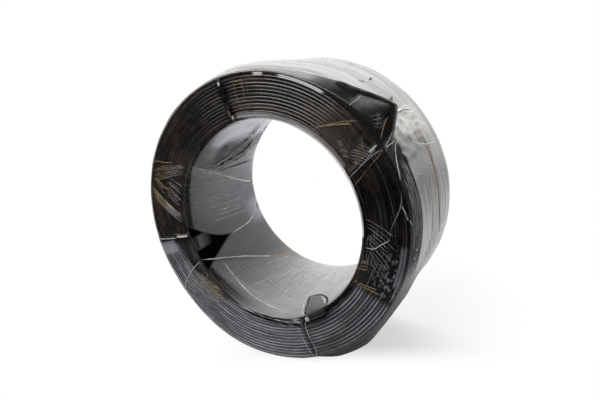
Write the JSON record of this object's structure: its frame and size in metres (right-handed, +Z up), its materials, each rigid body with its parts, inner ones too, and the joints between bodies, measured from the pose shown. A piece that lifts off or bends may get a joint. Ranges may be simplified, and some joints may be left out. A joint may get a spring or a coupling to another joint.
{
  "type": "wire rod coil",
  "caption": "Level-wound coil of steel wire rod, tied through the bore with four sealed flat steel straps and wrapped all over in clear stretch film; the rod's free end stands off the rim under the film.",
  "frame": {"origin": "on the floor under the middle of the coil, which stands on its rim", "axes": "+Y along the coil's axis from its front end to its back end, +Z up"},
  "size_m": [0.4514, 0.2142, 0.4515],
  "materials": {
    "rod_steel": "hot-rolled steel under thin dark mill scale, with light rust in places",
    "strap_steel": "dark blued steel strapping and crimped seals with a little rust",
    "clear_film": "clear glossy stretch film in overlapping bands, hazy where it is stretched or creased"
  },
  "bodies": {
    "root": {"wire_coil": "rod_steel", "strap_1": "strap_steel", "strap_2": "strap_steel", "strap_3": "strap_steel", "strap_4": "strap_steel", "seal_1": "strap_steel", "seal_2": "strap_steel", "seal_3": "strap_steel", "seal_4": "strap_steel", "film_wrap": "clear_film"}
  },
  "joints": []
}
